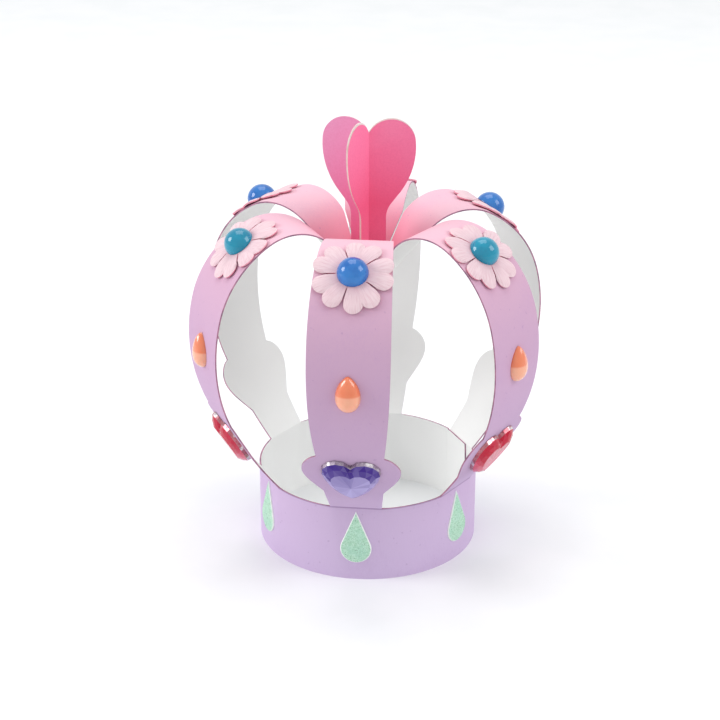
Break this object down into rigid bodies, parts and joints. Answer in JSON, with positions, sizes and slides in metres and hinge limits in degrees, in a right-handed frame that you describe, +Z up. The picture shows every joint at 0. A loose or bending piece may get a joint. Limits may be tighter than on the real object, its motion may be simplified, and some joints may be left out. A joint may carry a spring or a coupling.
{
  "type": "paper crown",
  "caption": "Paper party crown: a lilac card band with arms bent over to the middle, paper flowers, pearls, drops and heart gems on the arms, and folded paper hearts on top.",
  "frame": {"origin": "middle of the band's bottom edge, on the crown's axis", "axes": "+Z up along the crown's axis, the front arm points to -Y, +X to the viewer's right"},
  "size_m": [0.1144, 0.1236, 0.148],
  "materials": {
    "lilac_card": "matte",
    "pink_card": "matte",
    "petal_paper": "matte",
    "pearl_blue": "gloss",
    "pearl_teal": "gloss",
    "drop_orange": "gloss",
    "gem_purple": "gloss",
    "gem_red": "gloss",
    "mint_card": "glitter"
  },
  "bodies": {
    "root": {"crown_body": "lilac_card", "heart_front": "pink_card", "heart_left": "pink_card", "heart_back": "pink_card", "flower_front": "petal_paper", "pearl_front": "pearl_blue", "drop_front": "drop_orange", "gem_front": "gem_purple", "band_drop_front": "mint_card", "flower_front_left": "petal_paper", "pearl_front_left": "pearl_teal", "drop_front_left": "drop_orange", "gem_front_left": "gem_red", "band_drop_front_left": "mint_card", "flower_back_left": "petal_paper", "pearl_back_left": "pearl_blue", "drop_back_left": "drop_orange", "gem_back_left": "gem_purple", "band_drop_back_left": "mint_card", "flower_back": "petal_paper", "pearl_back": "pearl_teal", "drop_back": "drop_orange", "gem_back": "gem_red", "band_drop_back": "mint_card", "flower_back_right": "petal_paper", "pearl_back_right": "pearl_blue", "drop_back_right": "drop_orange", "gem_back_right": "gem_purple", "band_drop_back_right": "mint_card", "flower_front_right": "petal_paper", "pearl_front_right": "pearl_teal", "drop_front_right": "drop_orange", "gem_front_right": "gem_red", "band_drop_front_right": "mint_card"}
  },
  "joints": []
}
